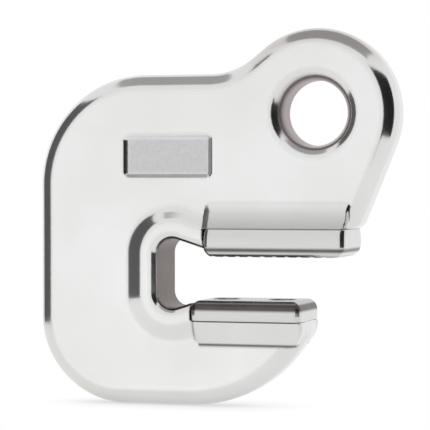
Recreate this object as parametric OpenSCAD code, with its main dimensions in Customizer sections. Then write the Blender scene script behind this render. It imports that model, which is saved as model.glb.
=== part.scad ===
// Pipe lifting hook: a forged C-shaped hook with a lifting eye and two lined jaws.
// Origin at the centre of the lifting eye, +X towards the mouth, +Y to the back, +Z up.

/* [Plate] */
// Thickness of the plate
plate_t = 29; // [26:0.5:34]
// Rounding of the plate's rim
rim_r = 11.4; // [6:0.2:12.4]
// Distance from the eye's axis to the left edge
reach = 161.2; // [150:0.5:175]
// Height of the top edge above the eye's axis
top_rise = 22.3; // [16:0.1:26]
// Depth of the bottom edge under the eye's axis
drop = 162.8; // [156:0.1:172]
// Radius of the upper left corner
top_corner_r = 61.7; // [45:0.1:70]
// Radius of the lower left corner
bottom_corner_r = 49.8; // [35:0.1:60]
// Radius of the finger's outer curve
finger_r = 78.3; // [72:0.1:82]
// Distance from the eye's axis to the centre of that curve
finger_back = 74.2; // [70:0.1:78]

/* [Head] */
// Outer radius of the head
head_r = 46.7; // [42:0.1:50]
// Diameter of the lifting eye at its waist
eye_d = 36; // [28:0.5:42]
// Radius of the flare at both mouths of the eye
eye_flare = 9.6; // [6:0.1:10.5]
// Length of the straight wall at the eye's waist
eye_land = 10; // [8.5:0.1:14]
// Lean of the arm's outer side from the vertical, in degrees
arm_lean = 24.2; // [22:0.1:27]
// Angle at which the neck leaves the head, in degrees
neck_angle = 128.5; // [120:0.5:135]
// Radius of the hollow between neck and top edge
neck_r = 39; // [30:0.5:50]

/* [Throat] */
// Distance from the eye's axis to the throat's back wall
throat_back = 88.3; // [84:0.1:94]
// Depth of the throat's roof under the eye's axis
throat_roof = 68; // [66:0.1:70]
// Depth of the throat's floor under the eye's axis
throat_floor = 106.8; // [105:0.1:109]
// Radius of the throat's two back corners
throat_r = 8.5; // [6:0.1:12]
// Slope of the throat's roof and floor towards the jaws, in degrees
throat_slope = 18; // [12:0.5:22]
// Height of the bead round the throat above the plate
bead_h = 5; // [3:0.1:6]
// Rounding of the bead towards the throat
bead_round = 4.5; // [2:0.1:6]
// Width of the bead's flat crest
bead_crest = 4.4; // [2:0.1:6]
// Width of the bead's outer slope
bead_slope = 8.9; // [6:0.1:12]

/* [Jaws] */
// Depth of the upper gripping face under the eye's axis
grip_depth = 79.6; // [76:0.1:82]
// Opening between the two gripping faces
mouth = 23.3; // [16:0.1:26]
// Width of both jaws across the plate
jaw_w = 43; // [38:0.5:50]
// Width that both liners lose from their gripping edges to their seats
liner_taper = 1.2; // [0:0.1:2]
// Left end of the upper jaw, measured back from the eye's axis
upper_back = 61.5; // [58:0.1:64]
// Right end of the upper jaw, measured forward from the eye's axis
upper_front = 20; // [16:0.1:22]
// Left end of the lower jaw, measured back from the eye's axis
lower_back = 68.5; // [66:0.1:71]
// Right end of the lower jaw, measured back from the eye's axis
lower_front = 5; // [3:0.1:12]
// Height of the slope that carries each jaw out from the plate
jaw_slope = 13.4; // [10:0.1:16]
// Rounding of the jaws' upright corners
jaw_corner = 4.5; // [2:0.1:6]

/* [Liners] */
// Thickness of the upper liner
upper_liner_t = 16; // [13:0.1:18]
// Thickness of the lower liner
lower_liner_t = 11.7; // [10.5:0.1:13]
// Rounding of the liners' gripping edges
grip_round = 6.5; // [3:0.1:7]
// Rounding of the liners' gripping ends
grip_end_round = 5; // [2:0.1:6]
// Gap between a liner's end and the shoulder behind it
liner_gap = 0.3; // [0.1:0.1:0.8]
// Spacing of the grip grooves in the upper liner
groove_pitch = 7; // [6:0.5:10]
// Depth of the grip grooves
groove_depth = 0.8; // [0.4:0.1:1.2]
// Radius of the grip grooves
groove_r = 1.8; // [1.4:0.1:2.5]

/* [Liner screws] */
// Shank diameter of the countersunk liner screws
screw_d = 8; // [6:0.5:10]
// Head diameter of the liner screws
screw_head_d = 15; // [13:0.5:18]
// Overall length of the liner screws
screw_l = 26; // [22:0.5:32]
// Width across the flats of the screws' sockets
socket_af = 5; // [4:0.5:6]
// Depth of the screws' sockets
socket_depth = 3; // [2:0.1:3.5]
// Depth of the screw heads under the gripping face
screw_sink = 1.2; // [1:0.1:2]
// Number of screws in the upper liner
upper_screws_n = 3; // [2:1:3]
// Spacing of the upper liner's screws
upper_screws_pitch = 27; // [20:0.5:28]
// Number of screws in the lower liner
lower_screws_n = 2; // [1:1:2]
// Spacing of the lower liner's screws
lower_screws_pitch = 32; // [20:0.5:36]
// Clearance round the screws
screw_gap = 0.15; // [0.05:0.05:0.4]

/* [Marking recess] */
// Width of the recess in the front face
recess_w = 52; // [40:0.5:60]
// Height of the recess
recess_h = 24.4; // [16:0.2:28]
// Distance from the eye's axis to the recess's centre
recess_back = 83.2; // [76:0.1:92]
// Depth of the recess's centre under the eye's axis
recess_down = 23.4; // [20:0.1:28]
// Depth of the recess
recess_depth = 2.2; // [1:0.1:3]
// Width of the recess's sloped walls
recess_wall = 3.2; // [1:0.1:4]
// Corner radius of the recess
recess_r = 3.6; // [3:0.1:5]

/* [Hidden] */
$fn = 64;
half_t = plate_t / 2;
half_jaw = jaw_w / 2;
half_seat = half_jaw - liner_taper / 2;
bead_top = half_t + bead_h;
bead_w = bead_round + bead_crest + bead_slope;
// Heights of the two gripping faces and of the two liner seats
upper_grip = -grip_depth;
lower_grip = -grip_depth - mouth;
upper_seat = upper_grip + upper_liner_t;
lower_seat = lower_grip - lower_liner_t;
mid_mouth = (upper_grip + lower_grip) / 2;
throat_x = throat_r - throat_back;
roof_c = [throat_x, -throat_roof - throat_r];
floor_c = [throat_x, throat_r - throat_floor];
// How far hidden stretches run on inside their neighbours
bury = 6;
// Width of the crisp edge left where the eye's flare meets the face
eye_edge = 1.3;
// Overlap that keeps two cuts from sharing a face
eps = 0.01;
// Largest turn between neighbouring stations of an arc, in degrees
arc_step = 6;

// Flat drawing frame: x along the hook, y up, z to the front; upright() stands it up
module upright() {
    rotate([90, 0, 0]) children();
}

// Stations along a wall: point and outward direction, every few degrees of an arc about c.
// side is 1 where the metal lies inside the arc, -1 where the arc is hollow.
function arc(c, r, from, to, side = 1) =
    let (n = ceil(abs(to - from) / arc_step))
    [for (i = [0 : n])
        let (a = from + (to - from) * i / n)
        [c.x + r * cos(a), c.y + r * sin(a), side > 0 ? a : a + 180]];

// Point of a station moved deep into the metal, at the height z
function inner(station, deep, z) =
    [station.x - deep * cos(station.z), station.y - deep * sin(station.z), z];

// Quads between neighbouring rings, each with n points
function skin(count, n) =
    [for (r = [0 : count - 2], i = [0 : n - 1])
        let (j = (i + 1) % n)
        [r * n + i, r * n + j, (r + 1) * n + j, (r + 1) * n + i]];

// Solid between the first ring and the last, closed at each by a fan about a point called its heart
module loft(rings, hearts) {
    n = len(rings[0]);
    last = (len(rings) - 1) * n;
    heart = len(rings) * n;
    polyhedron(
        points = concat([for (ring = rings) each ring], hearts),
        faces = concat(
            [for (i = [0 : n - 1]) [i, (i + 1) % n, heart]],
            [for (f = skin(len(rings), n)) [f[3], f[2], f[1], f[0]]],
            [for (i = [0 : n - 1]) [last + (i + 1) % n, last + i, heart + 1]]
        )
    );
}

// The plate's outline, anticlockwise: head, neck, two corners, finger, and back up the arm's side
function outline() =
    let (
        away = [cos(neck_angle), sin(neck_angle)],
        hollow_y = top_rise + neck_r,
        neck_c = [(head_r + neck_r - hollow_y * away.y) / away.x, hollow_y],
        arm_len = drop / 2,
        arm_end = head_r * [cos(arm_lean), -sin(arm_lean)] - arm_len * [sin(arm_lean), cos(arm_lean)]
    )
    concat(
        arc([0, 0], head_r, -arm_lean, neck_angle),
        arc(neck_c, neck_r, neck_angle + 180, 270, -1),
        arc([top_corner_r - reach, top_rise - top_corner_r], top_corner_r, 90, 180),
        arc([bottom_corner_r - reach, bottom_corner_r - drop], bottom_corner_r, 180, 270),
        arc([-finger_back, finger_r - drop], finger_r, 270, 350),
        [[arm_end.x, arm_end.y, -arm_lean]]
    );

// Plate with a rounded rim
module plate() {
    wall = outline();
    steps = 5;
    // Angles round the rim, from the back face's edge to the front face's
    back = [for (i = [-steps : 0]) 90 * i / steps];
    front = [for (i = [0 : steps]) 90 * i / steps];
    core = half_t - rim_r;
    // A point from which the whole outline can be seen
    heart = [-upper_back, -drop / 4];
    rings = concat(
        [for (a = back) [for (s = wall) inner(s, rim_r * (1 - cos(a)), rim_r * sin(a) - core)]],
        [for (a = front) [for (s = wall) inner(s, rim_r * (1 - cos(a)), rim_r * sin(a) + core)]]
    );
    loft(rings, [[heart.x, heart.y, -half_t], [heart.x, heart.y, half_t]]);
}

// Half section of the bead: depth from the throat's wall and height above the plate's middle
function bead_section() =
    let (
        steps = 4,
        sunk = 2,
        shoulder = bead_top - bead_round,
        crest_end = bead_round + bead_crest
    )
    concat(
        [for (i = [0 : steps])
            let (a = 90 * i / steps)
            [bead_round * (1 - cos(a)), shoulder + bead_round * sin(a)]],
        [[crest_end, bead_top], [bead_w + sunk * bead_slope / bead_h, half_t - sunk]]
    );

// Bead round the throat: the roof, a corner, the back wall, a corner and the floor
module throat_bead() {
    half = bead_section();
    n = len(half);
    section = concat(half, [for (i = [n - 1 : -1 : 0]) [half[i].x, -half[i].y]]);
    slope = [cos(throat_slope), sin(throat_slope)];
    floor_end = floor_c + throat_r * [slope.y, -slope.x];
    roof_end = roof_c + throat_r * [slope.y, slope.x];
    floor_tip = floor_end + (bury - lower_back - floor_end.x) / slope.x * slope;
    roof_tip = roof_end + (bury - upper_back - roof_end.x) / slope.x * [slope.x, -slope.y];
    wall = concat(
        [[roof_tip.x, roof_tip.y, 270 - throat_slope]],
        arc(roof_c, throat_r, 90 - throat_slope, 180, -1),
        arc(floor_c, throat_r, 180, 270 + throat_slope, -1),
        [[floor_tip.x, floor_tip.y, 90 + throat_slope]]
    );
    rings = [for (station = wall) [for (p = section) inner(station, p.x, p.y)]];
    heart = bead_w / 2;
    loft(rings, [inner(wall[0], heart, 0), inner(wall[len(wall) - 1], heart, 0)]);
}

// Opening in the plate, whose edges stay hidden in the bead and the jaws
module throat_opening() {
    r = throat_r + bury;
    long = plate_t + 2 * bury;
    translate([0, 0, -long / 2]) {
        for (c = [roof_c, floor_c])
            translate(c) cylinder(r = r, h = long);
        translate([throat_x - r, floor_c.y]) cube([2 * r, roof_c.y - floor_c.y, long]);
        translate([throat_x, floor_c.y - throat_r - 2])
            cube([reach, roof_c.y - floor_c.y + 2 * throat_r + 4, long]);
    }
}

// Plan of a jaw between x = from and x = to, seen from above, with rounded upright corners
module jaw_plan(from, to) {
    r = jaw_corner;
    translate([from + r, -half_jaw]) square([to - from - 2 * r, jaw_w]);
    translate([from, r - half_jaw]) square([to - from, jaw_w - 2 * r]);
    for (x = [from + r, to - r], y = [r - half_jaw, half_jaw - r])
        translate([x, y]) circle(r);
}

// Block that carries one liner, sloping out from the plate to the seat; up is 1 above, -1 below
module jaw_block(from, to, seat, up) {
    sunk = 1.2;
    rise = jaw_slope * (1 + sunk / (half_seat - half_t));
    intersection() {
        translate([from, 0, seat]) rotate([90, 0, 90]) linear_extrude(to - from)
            polygon([
                [-half_seat, 0], [half_seat, 0],
                [half_t - sunk, up * rise], [sunk - half_t, up * rise]
            ]);
        translate([0, 0, seat - reach / 2]) linear_extrude(reach) jaw_plan(from, to);
    }
}

// Round bar whose side is the finger's outer curve; it trims the lower block
module finger_round() {
    upright() translate([-finger_back, finger_r - drop, -jaw_w])
        cylinder(r = finger_r, h = 2 * jaw_w, $fn = 128);
}

// Mouth and liner seats, cut through everything
module mouth_cut() {
    deep = 2 * jaw_w;
    translate([-upper_back, -jaw_w, mid_mouth]) cube([reach, deep, upper_seat - mid_mouth]);
    translate([-lower_back, -jaw_w, lower_seat]) cube([reach, deep, mid_mouth - lower_seat]);
    translate([upper_front, -jaw_w, mid_mouth])
        cube([reach, deep, arm_foot() - mid_mouth]);
    translate([-lower_front, -jaw_w, finger_head()])
        cube([reach, deep, mid_mouth - finger_head()]);
}

// Height at which the arm's leaning side reaches the upper jaw's end
function arm_foot() = (upper_front * cos(arm_lean) - head_r) / sin(arm_lean);

// Height at which the finger's curve reaches the lower jaw's end
function finger_head() =
    finger_r - drop - sqrt(pow(finger_r, 2) - pow(finger_back - lower_front, 2));

// Flared hole of the lifting eye
module eye_cut() {
    mouth_r = eye_d / 2 + eye_flare;
    upright() rotate_extrude() difference() {
        translate([0, -half_t - bury]) square([mouth_r - eye_edge, plate_t + 2 * bury]);
        for (side = [-1, 1])
            translate([mouth_r, side * eye_land / 2]) circle(eye_flare);
        translate([eye_d / 2, -eye_land / 2]) square([eye_flare, eye_land]);
    }
}

// Recess for a marking, with sloped walls
module recess_cut() {
    upright() translate([-recess_back, -recess_down, half_t - recess_depth]) hull()
        for (level = [0, 1], x = [-1, 1], y = [-1, 1]) {
            inset = recess_r + (1 - level) * recess_wall;
            translate([x * (recess_w / 2 - inset), y * (recess_h / 2 - inset), level * recess_depth])
                cylinder(r = recess_r, h = eps + level, $fn = 24);
        }
}

// Places of n screws in a liner between x = from and x = to
function screw_xs(n, pitch, from, to) =
    [for (i = [0 : n - 1]) (from + to) / 2 + (i - (n - 1) / 2) * pitch];

// Countersunk screw that points up, with the top of its head at z = 0, grown by gap all round
module screw_form(gap) {
    rim = 0.5;
    cone = (screw_head_d - screw_d) / 2;
    cylinder(d = screw_head_d + 2 * gap, h = rim + gap);
    translate([0, 0, rim + gap])
        cylinder(d1 = screw_head_d + 2 * gap, d2 = screw_d + 2 * gap, h = cone);
    cylinder(d = screw_d + 2 * gap, h = screw_l + gap);
}

// Hole for a screw: its own form, opened to the gripping face and to the drill's end
module screw_hole() {
    screw_form(screw_gap);
    translate([0, 0, -screw_sink - eps])
        cylinder(d = screw_head_d + 2 * screw_gap, h = screw_sink + 2 * eps);
    cylinder(d = screw_d + 2 * screw_gap, h = screw_l + 2);
}

module screw() {
    difference() {
        screw_form(0);
        translate([0, 0, -eps]) cylinder(d = socket_af / cos(30), h = socket_depth, $fn = 6);
    }
}

module at_upper_screws() {
    for (x = screw_xs(upper_screws_n, upper_screws_pitch, -upper_back, upper_front))
        translate([x, 0, upper_grip + screw_sink]) children();
}

module at_lower_screws() {
    for (x = screw_xs(lower_screws_n, lower_screws_pitch, -lower_back, -lower_front))
        translate([x, 0, lower_grip - screw_sink]) mirror([0, 0, 1]) children();
}

// Liner lying on z = 0 with its gripping face down and its seat at z = t
module liner_blank(from, to, t) {
    r = grip_round;
    e = grip_end_round;
    len = to - from;
    intersection() {
        translate([from, 0, 0]) rotate([90, 0, 90]) linear_extrude(len) {
            translate([r - half_jaw, 0]) square([jaw_w - 2 * r, t]);
            polygon([[-half_jaw, r], [half_jaw, r], [half_seat, t], [-half_seat, t]]);
            for (side = [-1, 1])
                translate([side * (half_jaw - r), r]) circle(r);
        }
        translate([0, 0, -eps]) linear_extrude(t + 2 * eps) jaw_plan(from, to);
        translate([0, half_jaw + eps, 0]) upright() linear_extrude(jaw_w + 2 * eps) {
            translate([from, e]) square([len, t]);
            translate([from + e, 0]) square([len - 2 * e, t]);
            for (x = [from + e, to - e])
                translate([x, e]) circle(e);
        }
    }
}

module hook_body() {
    color([0.86, 0.86, 0.85]) difference() {
        union() {
            upright() difference() {
                plate();
                throat_opening();
            }
            upright() throat_bead();
            jaw_block(-upper_back, upper_front, upper_seat, 1);
            intersection() {
                jaw_block(-lower_back, -lower_front, lower_seat, -1);
                finger_round();
            }
        }
        mouth_cut();
        eye_cut();
        recess_cut();
        at_upper_screws() screw_hole();
        at_lower_screws() screw_hole();
    }
}

// Upper liner, with grip grooves across its face
module upper_liner() {
    from = liner_gap - upper_back;
    grooves = floor((upper_front - from - 2 * grip_end_round) / groove_pitch);
    color([0.80, 0.80, 0.80]) difference() {
        translate([0, 0, upper_grip]) liner_blank(from, upper_front, upper_liner_t);
        for (i = [0 : grooves])
            translate([
                (from + upper_front) / 2 + (i - grooves / 2) * groove_pitch, half_jaw + eps,
                upper_grip + groove_depth - groove_r
            ])
                rotate([90, 0, 0]) cylinder(r = groove_r, h = jaw_w + 2 * eps);
        at_upper_screws() screw_hole();
    }
}

// Lower liner, plain
module lower_liner() {
    from = liner_gap - lower_back;
    color([0.80, 0.80, 0.80]) difference() {
        translate([0, 0, lower_grip]) mirror([0, 0, 1])
            liner_blank(from, -lower_front, lower_liner_t);
        at_lower_screws() screw_hole();
    }
}

module upper_liner_screws() {
    color([0.42, 0.42, 0.44]) at_upper_screws() screw();
}

module lower_liner_screws() {
    color([0.42, 0.42, 0.44]) at_lower_screws() screw();
}

hook_body();
upper_liner();
lower_liner();
upper_liner_screws();
lower_liner_screws();
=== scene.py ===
"""Looks of the pipe lifting hook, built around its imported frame.

The forged body and the two liners are smooth meshes of distance fields, worked out from the
part's own driving sizes. The studio is a white background, a pale floor and three plain cards.
Sizes and places are in millimetres until a mesh is made, and in metres in the studio."""

import math

import bpy
import numpy as np
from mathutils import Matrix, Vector


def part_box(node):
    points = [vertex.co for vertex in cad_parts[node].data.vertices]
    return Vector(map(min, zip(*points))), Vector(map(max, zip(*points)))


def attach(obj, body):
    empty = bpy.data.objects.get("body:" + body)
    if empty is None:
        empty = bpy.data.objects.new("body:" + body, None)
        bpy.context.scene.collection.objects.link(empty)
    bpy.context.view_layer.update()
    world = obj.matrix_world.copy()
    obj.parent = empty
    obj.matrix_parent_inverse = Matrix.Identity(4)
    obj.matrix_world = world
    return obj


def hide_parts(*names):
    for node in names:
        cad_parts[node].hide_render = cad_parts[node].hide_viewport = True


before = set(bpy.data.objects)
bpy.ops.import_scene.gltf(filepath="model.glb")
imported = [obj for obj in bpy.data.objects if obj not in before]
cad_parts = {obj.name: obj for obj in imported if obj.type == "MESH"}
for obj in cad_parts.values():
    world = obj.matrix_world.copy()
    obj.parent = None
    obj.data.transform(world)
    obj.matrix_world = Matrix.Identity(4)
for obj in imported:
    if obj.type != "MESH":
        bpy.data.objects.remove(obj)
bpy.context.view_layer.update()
MM = 0.001

# Driving sizes, as in the part's source
HALF_T = 14.5
RIM_R = 11.4
REACH, TOP, DROP = 161.2, 22.3, 162.8
TOP_R, BOTTOM_R, FINGER_R, FINGER_BACK = 61.7, 49.8, 78.3, 74.2
HEAD_R, EYE_R, EYE_LAND = 46.7, 18.0, 10.0
NECK_ANGLE, NECK_R = 128.5, 39.0
THROAT_BACK, THROAT_ROOF, THROAT_FLOOR = 88.3, 68.0, 106.8
THROAT_R, THROAT_SLOPE = 8.5, 18.0
BEAD_H, BEAD_ROUND, BEAD_CREST, BEAD_SLOPE = 5.0, 4.5, 4.4, 8.9
GRIP_DEPTH, MOUTH, HALF_JAW, LINER_TAPER = 79.6, 23.3, 21.5, 1.2
UPPER_BACK, UPPER_FRONT, LOWER_BACK, LOWER_FRONT = 61.5, 20.0, 68.5, 5.0
JAW_SLOPE, JAW_CORNER = 13.4, 4.5
UPPER_LINER_T, LOWER_LINER_T = 16.0, 11.7
GRIP_ROUND, GRIP_END_ROUND, LINER_GAP = 6.5, 5.0, 0.3
GROOVE_PITCH, GROOVE_DEPTH, GROOVE_R = 7.0, 0.8, 1.8
SCREW_R, SCREW_HEAD_R, SCREW_L, SCREW_SINK, SCREW_GAP = 4.0, 7.5, 26.0, 1.2, 0.15
UPPER_SCREWS, LOWER_SCREWS = (3, 27.0), (2, 32.0)
RECESS_W, RECESS_H, RECESS_BACK, RECESS_DOWN = 52.0, 24.4, 83.2, 23.4
RECESS_DEPTH, RECESS_R = 2.2, 3.6

# Sizes of the looks alone, closer to the photograph than the part's own
# The arm's lean in degrees and its tighter rim; how full the finger's curve is, where 2 is a circle
ARM_LEAN, ARM_RIM_R = 22.4, 9.6
FULL = 2.1
# How much lower the throat sits; the bead's fall towards it, and its ends inside the jaws
THROAT_DOWN = 1.3
BEAD_FALL, BEAD_STRETCH, BURY = 0.055, 0.85, 6.0
# The arm's foot, the eye's flare and the recess's sloped walls
FOOT_X, FOOT_R = 21.2, 4.0
EYE_FLARE, RECESS_WALL = 9.5, 2.4
# The upper liner's larger round at the right, and the crowned sides of both liners
UPPER_END_ROUND = 8.5
UPPER_CROWN_R, LOWER_CROWN_R = 20.0, 12.0

# Small rounds of edges and fills of corners
BEAD_EDGE, BEAD_FILL = 1.5, 1.5
JAW_END_EDGE, SEAT_EDGE, JAW_FOOT = 1.0, 0.2, 0.8
UPPER_FILL, LOWER_FILL = 2.0, 0.4
FINGER_STEP, FINGER_EDGE = 1.2, 1.0
TIP_EDGE = 1.2
LINER_EDGE, LINER_SEAT_EDGE, GROOVE_EDGE = 0.6, 0.25, 0.4
RECESS_EDGE = 0.5

# Cells of the meshes, in millimetres
BODY_STEP, LINER_STEP = 1.0, 0.55

UPPER_GRIP = -GRIP_DEPTH
LOWER_GRIP = -GRIP_DEPTH - MOUTH
UPPER_SEAT = UPPER_GRIP + UPPER_LINER_T
LOWER_SEAT = LOWER_GRIP - LOWER_LINER_T
MID_MOUTH = (UPPER_GRIP + LOWER_GRIP) / 2
HALF_SEAT = HALF_JAW - LINER_TAPER / 2


def unit(degrees):
    """Direction at an angle, as (cosine, sine)"""
    return math.cos(math.radians(degrees)), math.sin(math.radians(degrees))


def rise(value, start, length):
    """0 up to the start, rising to 1 over the length"""
    return np.clip((value - start) / length, 0, 1)


# Distance fields: negative in the metal


def both(a, b, r):
    """What lies in both fields, its edge rounded by r"""
    return np.minimum(-r, np.maximum(a, b)) + np.hypot(np.maximum(a + r, 0), np.maximum(b + r, 0))


def either(a, b, r):
    """What lies in either field, its corner filled by r"""
    return np.maximum(r, np.minimum(a, b)) - np.hypot(np.maximum(r - a, 0), np.maximum(r - b, 0))


def rounded_rect(x, z, half_w, half_h, r, full=2.0):
    """Rectangle with rounded corners, which are circles where full is 2 and fuller above it"""
    u = np.abs(x) - half_w + r
    v = np.abs(z) - half_h + r
    corner = (np.maximum(u, 0) ** full + np.maximum(v, 0) ** full) ** (1 / full)
    return np.minimum(np.maximum(u, v), 0) + corner - r


def outline(x, z):
    """Outline of the plate: a block with its own radius at each corner, the arm and the neck"""
    right = FINGER_R - FINGER_BACK
    u, v = x - (right - REACH) / 2, z - (TOP - DROP) / 2
    left_r = np.where(v > 0, TOP_R, BOTTOM_R)
    right_r = np.where(v > 0, NECK_R / 4, FINGER_R)
    corner_r = np.where(u < 0, left_r, right_r)
    full = np.where((u > 0) & (v < 0), FULL, 2.0)
    block = rounded_rect(u, v, (right + REACH) / 2, (TOP + DROP) / 2, corner_r, full)

    cos_lean, sin_lean = unit(ARM_LEAN)
    arm_len = 1.3 * HEAD_R
    along = np.clip(-x * sin_lean - z * cos_lean, 0, arm_len)
    arm = np.hypot(x + along * sin_lean, z + along * cos_lean) - HEAD_R
    shape = np.minimum(block, arm)

    # The neck: a straight stretch from the head, then a hollow arc down to the top edge
    away = unit(NECK_ANGLE)
    run = (-away[1], away[0])
    hollow_z = TOP + NECK_R
    hollow_x = (HEAD_R + NECK_R - hollow_z * away[1]) / away[0]
    neck_len = hollow_x * run[0] + hollow_z * run[1]
    out = x * away[0] + z * away[1]
    past = x * run[0] + z * run[1]
    under = NECK_R - np.hypot(x - hollow_x, z - hollow_z)
    straight = (past > 0) & (past < neck_len) & (out > HEAD_R - HALF_T)
    hollow = (past >= neck_len) & (x > hollow_x) & (under > -HALF_T)
    within = (past > 0) & (x > hollow_x) & (z > TOP - 2 * HALF_T) & (out < HEAD_R)
    shape = np.where(within, -HALF_T, shape)
    shape = np.where(straight, out - HEAD_R, shape)
    shape = np.where(hollow, under, shape)
    return np.maximum(shape, -HALF_T)


def rim_radius(x, z):
    """Radius of the plate's rim, which is tighter along the arm"""
    on_arm = rise(x, -20, 20) * rise(-z, 5, 25) * rise(z, -95, 10)
    return RIM_R - (RIM_R - ARM_RIM_R) * on_arm


def throat_depth(x, z):
    """Depth in the metal behind the throat's wall; negative in the opening"""
    cos_slope, sin_slope = unit(THROAT_SLOPE)
    middle = (THROAT_ROOF + THROAT_FLOOR) / 2 + THROAT_DOWN
    u = x + THROAT_BACK - THROAT_R
    v = np.abs(z + middle) - (THROAT_FLOOR - THROAT_ROOF) / 2 + THROAT_R
    along = u * cos_slope - v * sin_slope
    out = u * sin_slope + v * cos_slope
    back = (u < 0) & (v <= 0)
    opening = (u >= 0) & (out <= 0)
    depth = np.select([back, opening, along >= 0], [-u, np.maximum(-u, out), out], np.hypot(u, v))
    return depth - THROAT_R


def bead(x, y, z):
    """Raised bead round the throat"""
    depth = throat_depth(x, z)
    height = np.abs(y) - HALF_T - BEAD_H
    crest = BEAD_ROUND + BEAD_CREST
    section = both(-BEAD_STRETCH * depth, height + BEAD_FALL * (crest - depth), BEAD_ROUND)
    fall = math.hypot(BEAD_H, BEAD_SLOPE)
    slope = ((depth - crest) * BEAD_H + height * BEAD_SLOPE) / fall
    back = np.where(z > MID_MOUTH, UPPER_BACK, LOWER_BACK)
    ends = np.maximum(x + back - BURY, depth - crest - 1.4 * BEAD_SLOPE)
    return np.maximum(both(section, slope, BEAD_EDGE), ends)


def jaw_block(x, y, z, back, front, seat, up):
    """Block that carries a liner, sloping out from the plate to the seat"""
    side_step = HALF_SEAT - HALF_T
    fall = math.hypot(JAW_SLOPE, side_step)
    above = up * (z - seat)
    side = ((np.abs(y) - HALF_SEAT) * JAW_SLOPE + above * side_step) / fall
    ends = both(both(side, -back - x, JAW_CORNER), x - front, JAW_END_EDGE)
    return both(both(ends, -above, SEAT_EDGE), above - JAW_SLOPE - JAW_FOOT, JAW_FOOT)


def mouth_cut(x, z):
    """What is cut away between the two seats"""
    upper = np.maximum(np.maximum(-UPPER_BACK - x, z - UPPER_SEAT), MID_MOUTH - z)
    lower = np.maximum(np.maximum(-LOWER_BACK - x, LOWER_SEAT - z), z - MID_MOUTH - 0.1)
    return np.minimum(upper, lower)


def finger(x, z):
    """Distance to the finger's outer curve"""
    across, down = np.abs(x + FINGER_BACK), np.abs(z + DROP - FINGER_R)
    return (across**FULL + down**FULL) ** (1 / FULL) - FINGER_R


def past_finger(x, z):
    """What is cut away beyond the finger's tip"""
    head = FINGER_R - DROP - (FINGER_R**FULL - (FINGER_BACK - LOWER_FRONT) ** FULL) ** (1 / FULL)
    return np.maximum(np.maximum(-LOWER_FRONT - x, head - z), z - MID_MOUTH)


def past_arm(x, z):
    """What is cut away beyond the arm's foot"""
    return np.maximum(np.maximum(FOOT_X - x, z - UPPER_SEAT), MID_MOUTH - z)


def eye(x, y, z):
    """Metal round the flared hole of the lifting eye"""
    inward = EYE_R + EYE_FLARE - np.hypot(x, z)
    outward = np.maximum(np.abs(y) - EYE_LAND / 2, 0)
    return np.hypot(np.maximum(inward, 0), outward) - EYE_FLARE + np.minimum(inward, 0) / 2


def recess(x, y, z):
    """Marking recess in the front face, with sloped walls"""
    edge = rounded_rect(x + RECESS_BACK, z + RECESS_DOWN, RECESS_W / 2, RECESS_H / 2, RECESS_R)
    under = y + HALF_T
    fall = math.hypot(RECESS_DEPTH, RECESS_WALL)
    walls = (edge * RECESS_DEPTH + under * RECESS_WALL) / fall
    return both(walls, under - RECESS_DEPTH, RECESS_EDGE)


def screw_places(screws, back, front):
    """Where a row of screws stands along x, in the middle between both ends"""
    count, pitch = screws
    return [(front - back) / 2 + (i - (count - 1) / 2) * pitch for i in range(count)]


UPPER_SCREW_X = screw_places(UPPER_SCREWS, UPPER_BACK, UPPER_FRONT)
LOWER_SCREW_X = screw_places(LOWER_SCREWS, LOWER_BACK, -LOWER_FRONT)


def drilled(metal, x, y, deep, places):
    """Metal with screw holes; deep is the depth behind the gripping face"""
    shank, head = SCREW_R + SCREW_GAP, SCREW_HEAD_R + SCREW_GAP
    rim = SCREW_SINK + 0.5 + SCREW_GAP
    for place in places:
        radius = np.hypot(x - place, y)
        cone = (radius + deep - head - rim) / math.sqrt(2)
        hole = np.minimum(radius - shank, np.maximum(cone, radius - head))
        hole = np.maximum(hole, np.maximum(deep - SCREW_SINK - SCREW_L - 2, -2 - deep))
        metal = np.maximum(metal, -hole)
    return metal


def body(x, y, z):
    """The forged body"""
    metal = both(outline(x, z), np.abs(y) - HALF_T, rim_radius(x, z))
    metal = either(metal, bead(x, y, z), BEAD_FILL)
    upper = jaw_block(x, y, z, UPPER_BACK, UPPER_FRONT, UPPER_SEAT, 1)
    lower = jaw_block(x, y, z, LOWER_BACK, 0, LOWER_SEAT, -1)
    lower = both(lower, finger(x, z) + FINGER_STEP, FINGER_EDGE)
    metal = either(metal, upper, UPPER_FILL)
    metal = either(metal, lower, LOWER_FILL)
    metal = np.maximum(metal, -throat_depth(x, z))
    metal = both(metal, -past_finger(x, z), TIP_EDGE)
    metal = both(metal, -past_arm(x, z), FOOT_R)
    metal = both(metal, -mouth_cut(x, z), SEAT_EDGE)
    metal = np.maximum(metal, eye(x, y, z))
    metal = both(metal, -recess(x, y, z), RECESS_EDGE)
    metal = drilled(metal, x, y, z - UPPER_GRIP, UPPER_SCREW_X)
    return drilled(metal, x, y, LOWER_GRIP - z, LOWER_SCREW_X)


def liner(x, y, deep, back, front, thick, crown_r, end_round):
    """Liner block; deep is the depth behind its gripping face"""
    crown = np.maximum(deep - GRIP_ROUND - 1.5, 0)
    side = np.hypot(np.maximum(np.abs(y) - HALF_JAW + crown_r, 0), crown) - crown_r
    left, right = -back + LINER_GAP - x, x - front
    plan = both(side, np.maximum(left, right), JAW_CORNER)
    gripping = both(both(left, -deep, GRIP_END_ROUND), both(right, -deep, end_round), LINER_EDGE)
    metal = both(both(plan, -deep, GRIP_ROUND), gripping, LINER_EDGE)
    return both(metal, deep - thick, LINER_SEAT_EDGE)


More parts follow.
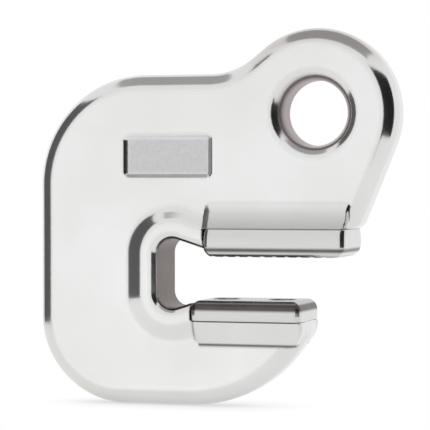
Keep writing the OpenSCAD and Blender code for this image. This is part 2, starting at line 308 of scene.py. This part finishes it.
def upper_liner(x, y, z):
    """Liner of the upper jaw, with its grooves"""
    deep = z - UPPER_GRIP
    ends = (UPPER_BACK, UPPER_FRONT)
    metal = liner(x, y, deep, *ends, UPPER_LINER_T, UPPER_CROWN_R, UPPER_END_ROUND)
    start = LINER_GAP - UPPER_BACK
    gaps = int((UPPER_FRONT - start - 2 * GRIP_END_ROUND) / GROOVE_PITCH)
    middle = (start + UPPER_FRONT) / 2
    for i in range(gaps + 1):
        place = middle + (i - gaps / 2) * GROOVE_PITCH
        groove = np.hypot(x - place, deep - GROOVE_DEPTH + GROOVE_R) - GROOVE_R
        metal = both(metal, -groove, GROOVE_EDGE)
    return drilled(metal, x, y, deep, UPPER_SCREW_X)


def lower_liner(x, y, z):
    """Liner of the lower jaw"""
    deep = LOWER_GRIP - z
    ends = (LOWER_BACK, -LOWER_FRONT)
    metal = liner(x, y, deep, *ends, LOWER_LINER_T, LOWER_CROWN_R, GRIP_END_ROUND)
    return drilled(metal, x, y, deep, LOWER_SCREW_X)


# Meshes of the fields


def surface_net(field, low, high, step):
    """Points and quads of the surface where the field is zero, inside a box of cubic cells"""
    low, high = np.array(low, float), np.array(high, float)
    counts = np.ceil((high - low) / step).astype(int) + 1
    x, y, z = (low[i] + step * np.arange(counts[i]) for i in range(3))
    value = field(x[:, None, None], y[None, :, None], z[None, None, :])
    inside = value < 0

    corners = [(i, j, k) for i in (0, 1) for j in (0, 1) for k in (0, 1)]
    cells = [slice(0, -1), slice(1, None)]
    filled = sum(inside[cells[i], cells[j], cells[k]].astype(np.int8) for i, j, k in corners)
    active = (filled > 0) & (filled < 8)
    cell = np.argwhere(active)
    near = [value[cell[:, 0] + i, cell[:, 1] + j, cell[:, 2] + k] for i, j, k in corners]
    total, hits = np.zeros((len(cell), 3)), np.zeros(len(cell))
    for a in range(8):
        for bit in (1, 2, 4):
            b = a | bit
            if b == a:
                continue
            crossed = (near[a] < 0) != (near[b] < 0)
            share = np.where(crossed, near[a] / np.where(crossed, near[a] - near[b], 1), 0)
            start, end = np.array(corners[a]), np.array(corners[b])
            total += crossed[:, None] * (start + share[:, None] * (end - start))
            hits += crossed
    points = low + step * (cell + total / hits[:, None])

    number = np.full(active.shape, -1)
    number[active] = np.arange(len(cell))
    quads = []
    for axis in range(3):
        side_a, side_b = (axis + 1) % 3, (axis + 2) % 3
        here = np.moveaxis(inside, axis, 0)[:-1]
        there = np.moveaxis(inside, axis, 0)[1:]
        edge = np.argwhere(np.moveaxis(here != there, 0, axis))
        leaving = np.moveaxis(here & ~there, 0, axis)[tuple(edge.T)]
        ring = []
        for a, b in ((0, 0), (1, 0), (1, 1), (0, 1)):
            at = edge.copy()
            at[:, side_a] -= a
            at[:, side_b] -= b
            ring.append(number[tuple(at.T)])
        ring = np.stack(ring, 1)
        quads.append(np.where(leaving[:, None], ring, ring[:, ::-1]))
    return points, np.concatenate(quads)


def slope_of(field, points, gap=0.02):
    """Gradient of the field at the points"""
    slope = np.empty_like(points)
    for axis in range(3):
        step = np.zeros(3)
        step[axis] = gap
        slope[:, axis] = field(*(points + step).T) - field(*(points - step).T)
    return slope / (2 * gap)


def smooth_mesh(name, field, box, step):
    """Mesh of a field, its points drawn onto the surface and its normals taken from the field"""
    margin = 1.7 * step
    low = [c / MM - margin for c in box[0]]
    high = [c / MM + margin for c in box[1]]
    points, quads = surface_net(field, low, high, step)
    for _ in range(5):
        slope = slope_of(field, points)
        steep = np.maximum((slope**2).sum(1), 0.05)
        move = (field(*points.T) / steep)[:, None] * slope
        size = np.maximum(np.linalg.norm(move, axis=1), 1e-9)
        points -= move * np.minimum(1, 0.4 * step / size)[:, None]
    slope = slope_of(field, points, 0.05)
    normals = slope / np.linalg.norm(slope, axis=1)[:, None]

    mesh = bpy.data.meshes.new(name)
    mesh.from_pydata((points * MM).tolist(), [], quads.tolist())
    mesh.update()
    mesh.shade_smooth()
    mesh.normals_split_custom_set_from_vertices(normals.tolist())
    piece = bpy.data.objects.new(name, mesh)
    bpy.context.collection.objects.link(piece)
    return piece, points, normals


def mark(piece, name, values):
    """A number between 0 and 1 for each point, which materials read by name"""
    layer = piece.data.attributes.new(name, "FLOAT", "POINT")
    layer.data.foreach_set("value", np.clip(values, 0, 1).astype(np.float32))


def mark_relief(piece, field, points, normals):
    """Marks hollows, by how much metal stands ahead of each point"""
    reach = 3.0
    ahead = field(*(points + normals * reach).T)
    mark(piece, "hollow", 1 - ahead / reach)


def flatness(facing):
    """1 on flat faces, falling to 0 as the surface turns away; facing is a normal's main part"""
    return rise(facing, 0.955, 0.035)


# Materials


class Nodes:
    """Short hand for building a node tree"""

    def __init__(self, tree):
        self.tree = tree
        tree.nodes.clear()

    def add(self, kind, **settings):
        node = self.tree.nodes.new(kind)
        for key, value in settings.items():
            setattr(node, key, value)
        return node

    def link(self, out, into):
        self.tree.links.new(out, into)

    def put(self, into, value):
        if isinstance(value, bpy.types.NodeSocket):
            self.link(value, into)
        else:
            into.default_value = value

    def math(self, operation, a, b=0.0, clamp=False):
        node = self.add("ShaderNodeMath", operation=operation, use_clamp=clamp)
        self.put(node.inputs[0], a)
        self.put(node.inputs[1], b)
        return node.outputs[0]

    def less(self, share, amount):
        """1 less an amount where the share is full"""
        return self.math("SUBTRACT", 1.0, self.math("MULTIPLY", share, amount))

    def mix(self, share, a, b):
        node = self.add("ShaderNodeMix", data_type="RGBA")
        self.put(node.inputs[0], share)
        self.put(node.inputs[6], a)
        self.put(node.inputs[7], b)
        return node.outputs[2]

    def ramp(self, share, stops):
        node = self.add("ShaderNodeValToRGB")
        self.put(node.inputs[0], share)
        points = node.color_ramp.elements
        while len(points) < len(stops):
            points.new(1.0)
        for point, (place, grey) in zip(points, stops):
            point.position = place
            point.color = (grey, grey, grey, 1.0)
        return node.outputs[0]

    def noise(self, scale, detail=4.0, roughness=0.5, stretch=(1, 1, 1)):
        place = self.add("ShaderNodeTexCoord").outputs["Object"]
        mapping = self.add("ShaderNodeMapping")
        mapping.inputs["Scale"].default_value = stretch
        self.link(place, mapping.inputs[0])
        node = self.add("ShaderNodeTexNoise")
        self.link(mapping.outputs[0], node.inputs["Vector"])
        node.inputs["Scale"].default_value = scale
        node.inputs["Detail"].default_value = detail
        node.inputs["Roughness"].default_value = roughness
        return node.outputs["Fac"]

    def marked(self, name):
        return self.add("ShaderNodeAttribute", attribute_name=name).outputs["Fac"]

    def bump(self, height, distance, strength=1.0, below=None):
        node = self.add("ShaderNodeBump")
        node.inputs["Strength"].default_value = strength
        node.inputs["Distance"].default_value = distance
        self.link(height, node.inputs["Height"])
        if below is not None:
            self.link(below, node.inputs["Normal"])
        return node.outputs["Normal"]

    def metal(self, colour, roughness, normal, share=1.0):
        shader = self.add("ShaderNodeBsdfPrincipled")
        self.put(shader.inputs["Metallic"], share)
        self.put(shader.inputs["Base Color"], colour)
        self.put(shader.inputs["Roughness"], roughness)
        self.link(normal, shader.inputs["Normal"])
        output = self.add("ShaderNodeOutputMaterial")
        self.link(shader.outputs[0], output.inputs[0])


def new_nodes(name):
    material = bpy.data.materials.new(name)
    material.use_nodes = True
    return material, Nodes(material.node_tree)


def plated_steel():
    """Polished plating over a forging: slight waves, rougher hollows, an unpolished dark throat and
    painted shade
    """
    material, n = new_nodes("plated_steel")
    cloud = n.ramp(n.noise(17.0, 3.0), [(0.3, 0.0), (0.7, 1.0)])
    speck = n.noise(900.0, 2.0)
    bright = n.mix(cloud, (0.69, 0.69, 0.67, 1), (0.76, 0.764, 0.764, 1))
    satin = n.mix(cloud, (0.89, 0.89, 0.87, 1), (0.97, 0.975, 0.975, 1))
    bright = n.mix(n.marked("flat"), bright, satin)
    # Painted shade: hollows and inner corners darken towards a dark grey
    hollow_shade = n.math("MULTIPLY", n.marked("hollow"), 0.8, True)
    plated = n.mix(hollow_shade, bright, (0.34, 0.33, 0.32, 1))
    # Painted shade on the eye's unpolished inner wall, towards a dark brownish grey
    plated = n.mix(n.marked("waist"), plated, (0.35, 0.30, 0.30, 1))
    # Painted shade on the up-facing top of the head, towards a brownish grey
    plated = n.mix(n.math("MULTIPLY", n.marked("top_shade"), 0.4), plated, (0.42, 0.35, 0.34, 1))
    raw = n.mix(n.noise(60.0, 5.0), (0.105, 0.083, 0.080, 1), (0.20, 0.158, 0.152, 1))
    rough_cast = n.mix(n.noise(420.0, 3.0), (0.62, 0.62, 0.63, 1), (0.78, 0.78, 0.79, 1))
    plated = n.mix(n.marked("cast"), plated, rough_cast)
    # Painted shade on the jaws, towards black
    plated = n.mix(n.marked("shade"), plated, (0.0, 0.0, 0.0, 1))
    colour = n.mix(n.marked("throat"), plated, raw)

    polish = n.math("MULTIPLY_ADD", speck, 0.05)
    polish.node.inputs[2].default_value = 0.115
    dulled = n.math("MULTIPLY_ADD", n.marked("hollow"), 0.15)
    n.link(polish, dulled.node.inputs[2])
    wall = n.math("MAXIMUM", n.marked("throat"), n.marked("waist"))
    wall = n.math("MAXIMUM", wall, n.marked("cast"))
    satin_wall = n.math("MULTIPLY_ADD", n.marked("flat"), 0.10)
    n.link(dulled, satin_wall.node.inputs[2])
    roughness = n.math("MULTIPLY_ADD", wall, 0.22)
    n.link(satin_wall, roughness.node.inputs[2])

    waves = n.bump(n.noise(14.0, 1.0), 0.0009, 0.35)
    grain = n.bump(speck, 0.00004, 0.25, waves)
    n.metal(colour, roughness, grain, n.less(n.marked("flat"), 0.35))
    return material


def liner_steel():
    """Ground liner steel, dark where it grips"""
    material, n = new_nodes("liner_steel")
    lay = n.noise(260.0, 3.0, 0.6, (0.06, 1, 1))
    polished = n.mix(lay, (0.58, 0.58, 0.57, 1), (0.68, 0.68, 0.67, 1))
    satin = n.mix(lay, (0.66, 0.66, 0.65, 1), (0.76, 0.76, 0.75, 1))
    bright = n.mix(n.marked("flat"), polished, satin)
    dark = n.mix(n.noise(90.0, 5.0), (0.07, 0.06, 0.06, 1), (0.15, 0.136, 0.132, 1))
    colour = n.mix(n.marked("grip"), bright, dark)
    roughness = n.math("MULTIPLY_ADD", n.marked("grip"), 0.18)
    roughness.node.inputs[2].default_value = 0.17
    grain = n.bump(lay, 0.00005, 0.4)
    n.metal(colour, roughness, grain, n.less(n.marked("flat"), 0.2))
    return material


def screw_steel():
    """Dark oiled steel of the socket screws"""
    material, n = new_nodes("screw_steel")
    cloud = n.noise(400.0, 4.0)
    colour = n.mix(cloud, (0.11, 0.11, 0.12, 1), (0.18, 0.18, 0.19, 1))
    roughness = n.math("MULTIPLY_ADD", cloud, 0.1)
    roughness.node.inputs[2].default_value = 0.24
    n.metal(colour, roughness, n.bump(cloud, 0.00003, 0.4))
    return material


# Pieces of the hook


def stand_in(piece, node, material):
    """Makes a smooth mesh stand for a node of the frame"""
    piece.data.materials.append(material)
    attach(piece, "root")
    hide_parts(node)


# How far the marks of the jaws reach: over the seam, in from a block's left end, out of the plate
SEAM, INSET, PROUD = 0.5, 0.3, 0.1
# How strong the painted shade on the parts of the jaws is
UPPER_SHADE, LOWER_SHADE, END_SHADE, CREASE_SHADE = 0.38, 0.12, 0.45, 0.8
# Middle depth behind the gripping face and half width of each liner's dark band
UPPER_GRIP_BAND, LOWER_GRIP_BAND = (4.3, 1.0), (3.9, 2.0)


def band(place, middle, half, soft):
    """1 in a band round its middle, falling to 0 over its soft edges"""
    return np.clip((half + soft / 2 - np.abs(place - middle)) / soft, 0, 1)


def on_slopes(x, y, z):
    """Whether a point is on the jaws' sloped sides"""
    upper = (z > UPPER_SEAT - SEAM) & (z < UPPER_SEAT + JAW_SLOPE)
    upper = upper & (x > INSET - UPPER_BACK) & (x < UPPER_FRONT - 1)
    lower = (z < LOWER_SEAT + SEAM) & (z > LOWER_SEAT - JAW_SLOPE)
    lower = lower & (x > INSET - LOWER_BACK) & (x < -LOWER_FRONT - 1)
    return (upper | lower) & (np.abs(y) > HALF_T + PROUD)


def shade(x, y, z):
    """Painted shade on the jaws: the upper slope near its seat, the left ends, the lower crease"""
    above, below = z - UPPER_SEAT, LOWER_SEAT - z
    proud = np.abs(y) - HALF_T
    on_upper = (proud > PROUD) * (above > -SEAM) * (above < JAW_SLOPE) * (x > INSET - UPPER_BACK)
    on_lower = (proud > PROUD) * (below > -SEAM) * (below < JAW_SLOPE) * (x > INSET - LOWER_BACK)
    slope = UPPER_SHADE * (1 - above / JAW_SLOPE) * on_upper
    upper_end = END_SHADE * band(x, -UPPER_BACK, 2.0, 2.5) * on_upper
    lower_end = END_SHADE * band(x, -LOWER_BACK, 2.0, 2.5) * on_lower
    crease = CREASE_SHADE * band(below, JAW_SLOPE + 0.1, 0.8, 1.0)
    crease = crease * (x > 4 - LOWER_BACK) * (x < -8) * (proud > -6)
    return np.max([slope, LOWER_SHADE * on_lower, upper_end, lower_end, crease], axis=0)


def make_body(material):
    """The body's mesh with the marks that its material reads"""
    piece, points, normals = smooth_mesh("forged_body", body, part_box("hook_body"), BODY_STEP)
    mark_relief(piece, body, points, normals)
    x, y, z = points.T
    facing = np.abs(normals[:, 1])
    mark(piece, "throat", (1.2 - throat_depth(x, z)) / 1.2 * (x < LOWER_FRONT))
    # The eye's inner wall, which is rougher and gets painted shade, less where it faces up
    waist = np.where(np.hypot(x, z) < EYE_R + EYE_FLARE, facing, 1)
    mark(piece, "waist", (0.85 - waist) / 0.35 * (1 - 0.6 * np.maximum(normals[:, 2], 0)))
    mark(piece, "shade", shade(x, y, z))
    mark(piece, "flat", np.maximum(flatness(facing), 0.45 * on_slopes(x, y, z)))
    cast = np.clip((y + HALF_T) / RECESS_DEPTH, 0, 1) ** 2
    half_w, half_h = RECESS_W / 2, RECESS_H / 2
    inside = rounded_rect(x + RECESS_BACK, z + RECESS_DOWN, half_w, half_h, RECESS_R)
    mark(piece, "cast", cast * (inside < 0) * (y < 0))
    # Painted shade on the up-facing top of the head
    mark(piece, "top_shade", rise(z, 24, 12) * rise(normals[:, 2], 0.25, 0.3))
    stand_in(piece, "hook_body", material)


def make_liner(name, field, node, grip, dark_band, material):
    """A liner's mesh with the marks that its material reads"""
    piece, points, normals = smooth_mesh(name, field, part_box(node), LINER_STEP)
    deep = np.abs(points[:, 2] - grip)
    mark(piece, "flat", flatness(np.abs(normals).max(axis=1)))
    on_face = 0.4 * np.clip(2.2 - deep, 0, 1)
    mark(piece, "grip", np.maximum(band(deep, *dark_band, 1.4), on_face))
    stand_in(piece, node, material)


def dress_screws(material):
    """The screws keep the part's own solids and get their material"""
    for name in ("upper_liner_screws", "lower_liner_screws"):
        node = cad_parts[name]
        node.data.materials.clear()
        node.data.materials.append(material)


# Studio


# Strength of the world's light on rough surfaces; the white background has a strength of 1
ROOM_LIGHT = 0.6
FLOOR_SIZE, FLOOR_GAP = 1.0, 0.2 * MM
# Reach and darkest grey of the soft shadow on the floor
SHADOW_REACH, SHADOW_GREY = 0.05, 0.7
# Plain cards outside the picture: azimuth, height and distance of the centre, width, height and
# light. Azimuth 0 is the front and 90 the right.
CARDS = {
    "left_card": (-80, 0.4, 3.0, 3.4, 3.6, 0.12),
    "right_card": (65, 0.4, 3.0, 4.0, 3.6, 0.02),
    "top_card": (0, 3.0, 0.0, 4.0, 4.0, 0.45),
}
# The photograph's camera, and where its 430 pixels show the point that it aims at
CAMERA_AZIMUTH, CAMERA_ELEVATION, CAMERA_DISTANCE = 17, 1.5, 1.232
CAMERA_TARGET = (-0.059, 0, -0.070)
CAMERA_LENS, CAMERA_SENSOR = 184.2, 36.0
PHOTO_SIZE, TARGET_COLUMN, TARGET_ROW = 430, 216.3, 239.4


def glow_material(name, light):
    """Plain light of one strength"""
    material, n = new_nodes(name)
    glow = n.add("ShaderNodeEmission")
    glow.inputs[0].default_value = (light, light, light, 1)
    output = n.add("ShaderNodeOutputMaterial")
    n.link(glow.outputs[0], output.inputs[0])
    return material


def make_world():
    """White background, which the metal shows too, and plain light for all else"""
    world = bpy.data.worlds.new("background")
    bpy.context.scene.world = world
    world.use_nodes = True
    n = Nodes(world.node_tree)
    ray = n.add("ShaderNodeLightPath").outputs
    seen = n.math("MAXIMUM", ray["Is Camera Ray"], ray["Is Glossy Ray"])
    seen = n.math("MAXIMUM", seen, ray["Is Transmission Ray"])
    room = (ROOM_LIGHT, ROOM_LIGHT, ROOM_LIGHT, 1)
    background = n.add("ShaderNodeBackground")
    n.link(n.mix(seen, room, (1, 1, 1, 1)), background.inputs[0])
    output = n.add("ShaderNodeOutputWorld")
    n.link(background.outputs[0], output.inputs[0])


def make_sheet(name, corners, material):
    """Four-cornered piece of the studio"""
    mesh = bpy.data.meshes.new(name)
    mesh.from_pydata(corners, [], [(0, 1, 2, 3)])
    mesh.materials.append(material)
    sheet = bpy.data.objects.new(name, mesh)
    bpy.context.collection.objects.link(sheet)
    return sheet


def make_cards():
    """Cards at both sides and overhead, which the metal's round edges show; only the camera
    looks past them"""
    for name, (azimuth, up, away, width, height, light) in CARDS.items():
        turn = math.radians(azimuth)
        place = Vector((away * math.sin(turn), -away * math.cos(turn), up))
        half_w, half_h = width / 2, height / 2
        corners = [
            (-half_w, 0, -half_h),
            (half_w, 0, -half_h),
            (half_w, 0, half_h),
            (-half_w, 0, half_h),
        ]
        card = make_sheet(name, corners, glow_material(name, light))
        card.location = place
        card.rotation_euler = place.to_track_quat("Y", "Z").to_euler()
        card.visible_camera = False


def floor_material():
    """Pale glow with a soft shadow near the hook, clear from below so that the underside shows"""
    material, n = new_nodes("floor")
    shadow = n.add("ShaderNodeAmbientOcclusion")
    shadow.inputs["Distance"].default_value = SHADOW_REACH
    white = n.ramp(shadow.outputs["AO"], [(0.0, SHADOW_GREY), (0.75, 1.0)])
    glow = n.add("ShaderNodeEmission")
    n.link(white, glow.inputs[0])
    layers = n.add("ShaderNodeMixShader")
    n.link(n.add("ShaderNodeNewGeometry").outputs["Backfacing"], layers.inputs[0])
    n.link(glow.outputs[0], layers.inputs[1])
    n.link(n.add("ShaderNodeBsdfTransparent").outputs[0], layers.inputs[2])
    output = n.add("ShaderNodeOutputMaterial")
    n.link(layers.outputs[0], output.inputs[0])
    return material


def make_floor():
    """Pale floor under the hook, which the metal shows too"""
    half = FLOOR_SIZE / 2
    corners = [(-half, -half, 0), (half, -half, 0), (half, half, 0), (-half, half, 0)]
    floor = make_sheet("floor", corners, floor_material())
    floor.location.z = -DROP * MM - FLOOR_GAP


def make_camera():
    """The photograph's camera: a little to the right of the front and just above the level"""
    azimuth, elevation = math.radians(CAMERA_AZIMUTH), math.radians(CAMERA_ELEVATION)
    target = Vector(CAMERA_TARGET)
    data = bpy.data.cameras.new("camera")
    camera = bpy.data.objects.new("camera", data)
    bpy.context.collection.objects.link(camera)
    level = CAMERA_DISTANCE * math.cos(elevation)
    up = CAMERA_DISTANCE * math.sin(elevation)
    offset = Vector((level * math.sin(azimuth), -level * math.cos(azimuth), up))
    camera.location = target + offset
    camera.rotation_euler = (-offset).to_track_quat("-Z", "Y").to_euler()
    data.sensor_width = CAMERA_SENSOR
    data.lens = CAMERA_LENS
    data.shift_x = (PHOTO_SIZE / 2 - TARGET_COLUMN) / PHOTO_SIZE
    data.shift_y = (TARGET_ROW - PHOTO_SIZE / 2) / PHOTO_SIZE
    bpy.context.scene.camera = camera


make_camera()
plated, ground, oiled = plated_steel(), liner_steel(), screw_steel()
make_body(plated)
make_liner(
    "upper_liner_smooth", upper_liner, "upper_liner", UPPER_GRIP, UPPER_GRIP_BAND, ground
)
make_liner(
    "lower_liner_smooth", lower_liner, "lower_liner", LOWER_GRIP, LOWER_GRIP_BAND, ground
)
dress_screws(oiled)
make_world()
make_cards()
make_floor()
bpy.context.scene.view_settings.view_transform = "Standard"
